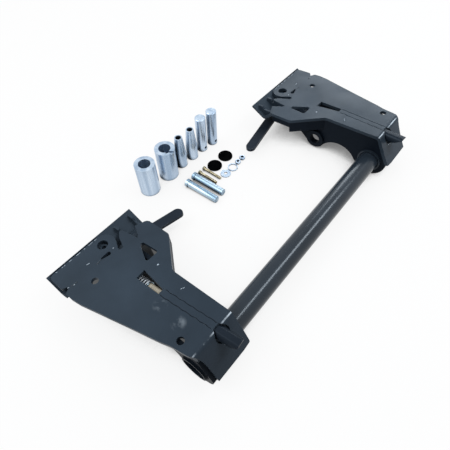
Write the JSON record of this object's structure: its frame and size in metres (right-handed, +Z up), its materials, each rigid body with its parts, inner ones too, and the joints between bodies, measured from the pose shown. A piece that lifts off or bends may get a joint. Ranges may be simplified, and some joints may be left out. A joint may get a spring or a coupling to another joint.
{
  "type": "skid steer quick attach coupler",
  "caption": "Loader-side quick attach coupler: mirrored plates on a cross tube, with hand levers, sprung wedges and a loose pin kit.",
  "frame": {"origin": "on the floor, under the middle of the bounding box of the coupler and its kit", "axes": "+X across the coupler from the near plate to the far plate, along the cross tube; +Y along the floor from the tube to the top lips; +Z up"},
  "size_m": [1.118, 0.596, 0.1498],
  "materials": {
    "face_paint": "satin blue-grey paint",
    "frame_paint": "satin dark blue-grey paint",
    "tube_paint": "gloss dark paint",
    "dark_steel": "semi-gloss dark coat",
    "tan_sleeve": "matt beige sleeve",
    "yellow_zinc": "yellow zinc plate",
    "black_rubber": "matt black rubber",
    "bright_zinc": "bright zinc plate",
    "blue_zinc": "blue zinc plate"
  },
  "bodies": {
    "frame": {"face_plate_right": "face_paint", "face_plate_left": "face_paint", "top_lip_right": "face_paint", "top_lip_left": "face_paint", "lip_webs_right": "face_paint", "lip_webs_left": "face_paint", "lip_boss_right": "face_paint", "lip_boss_left": "face_paint", "inner_rib_right": "frame_paint", "inner_rib_left": "frame_paint", "outer_rib_right": "frame_paint", "outer_rib_left": "frame_paint", "skirt_right": "frame_paint", "skirt_left": "frame_paint", "pivot_bushes_right": "frame_paint", "pivot_bushes_left": "frame_paint", "tilt_bosses_right": "frame_paint", "tilt_bosses_left": "frame_paint", "wedge_guide_right": "face_paint", "wedge_guide_left": "face_paint", "lever_bracket_right": "frame_paint", "lever_bracket_left": "frame_paint", "lever_spacer_right": "bright_zinc", "lever_spacer_left": "bright_zinc", "lever_bolt_right": "bright_zinc", "lever_bolt_left": "bright_zinc", "lever_washer_right": "bright_zinc", "lever_washer_left": "bright_zinc", "cross_tube": "tube_paint", "tube_collars": "tube_paint", "pivot_sleeves": "blue_zinc", "tapered_sleeves": "blue_zinc", "cross_pins": "blue_zinc", "headed_pins": "blue_zinc", "retainer_bolts": "yellow_zinc", "retainer_nuts": "blue_zinc", "rubber_discs": "black_rubber", "flat_washer": "blue_zinc", "split_ring": "blue_zinc"},
    "lever_right": {"lever_right": "dark_steel", "link_pin_right": "bright_zinc", "link_clip_right": "bright_zinc"},
    "link_right": {"link_rod_right": "dark_steel", "link_sleeve_right": "tan_sleeve", "link_spring_right": "bright_zinc", "spring_washers_right": "bright_zinc", "spring_nut_right": "bright_zinc"},
    "wedge_right": {"wedge_right": "dark_steel", "wedge_pin_right": "bright_zinc"},
    "lever_left": {"lever_left": "dark_steel", "link_pin_left": "bright_zinc", "link_clip_left": "bright_zinc"},
    "link_left": {"link_rod_left": "dark_steel", "link_sleeve_left": "tan_sleeve", "link_spring_left": "bright_zinc", "spring_washers_left": "bright_zinc", "spring_nut_left": "bright_zinc"},
    "wedge_left": {"wedge_left": "dark_steel", "wedge_pin_left": "bright_zinc"}
  },
  "joints": [
    {"name": "lever_right_swing", "type": "hinge", "parent": "frame", "child": "lever_right", "pos_m": [0.47, 0.15092, 0.04637], "axis": [0, -0.102, -0.9948], "range_deg": [0, 55]},
    {"name": "link_right_turn", "type": "hinge", "parent": "lever_right", "child": "link_right", "pos_m": [0.41262, 0.14356, 0.05768], "axis": [0, 0.102, 0.9948], "range_deg": [0, 53]},
    {"name": "wedge_right_slide", "type": "slide", "parent": "frame", "child": "wedge_right", "axis": [0.0732, 0.9921, -0.1017], "range_m": [0, 0.0526]},
    {"name": "lever_left_swing", "type": "hinge", "parent": "frame", "child": "lever_left", "pos_m": [-0.47, 0.15092, 0.04637], "axis": [0, 0.102, 0.9948], "range_deg": [0, 55]},
    {"name": "link_left_turn", "type": "hinge", "parent": "lever_left", "child": "link_left", "pos_m": [-0.41262, 0.14356, 0.05768], "axis": [0, -0.102, -0.9948], "range_deg": [0, 53]},
    {"name": "wedge_left_slide", "type": "slide", "parent": "frame", "child": "wedge_left", "axis": [-0.0732, 0.9921, -0.1017], "range_m": [0, 0.0526]}
  ],
  "couplings": [
    {"joint": "link_right_turn", "follows": "lever_right_swing", "ratio": 0.96},
    {"joint": "wedge_right_slide", "follows": "lever_right_swing", "m_per_rad": 0.0546},
    {"joint": "link_left_turn", "follows": "lever_left_swing", "ratio": 0.96},
    {"joint": "wedge_left_slide", "follows": "lever_left_swing", "m_per_rad": 0.0546}
  ]
}
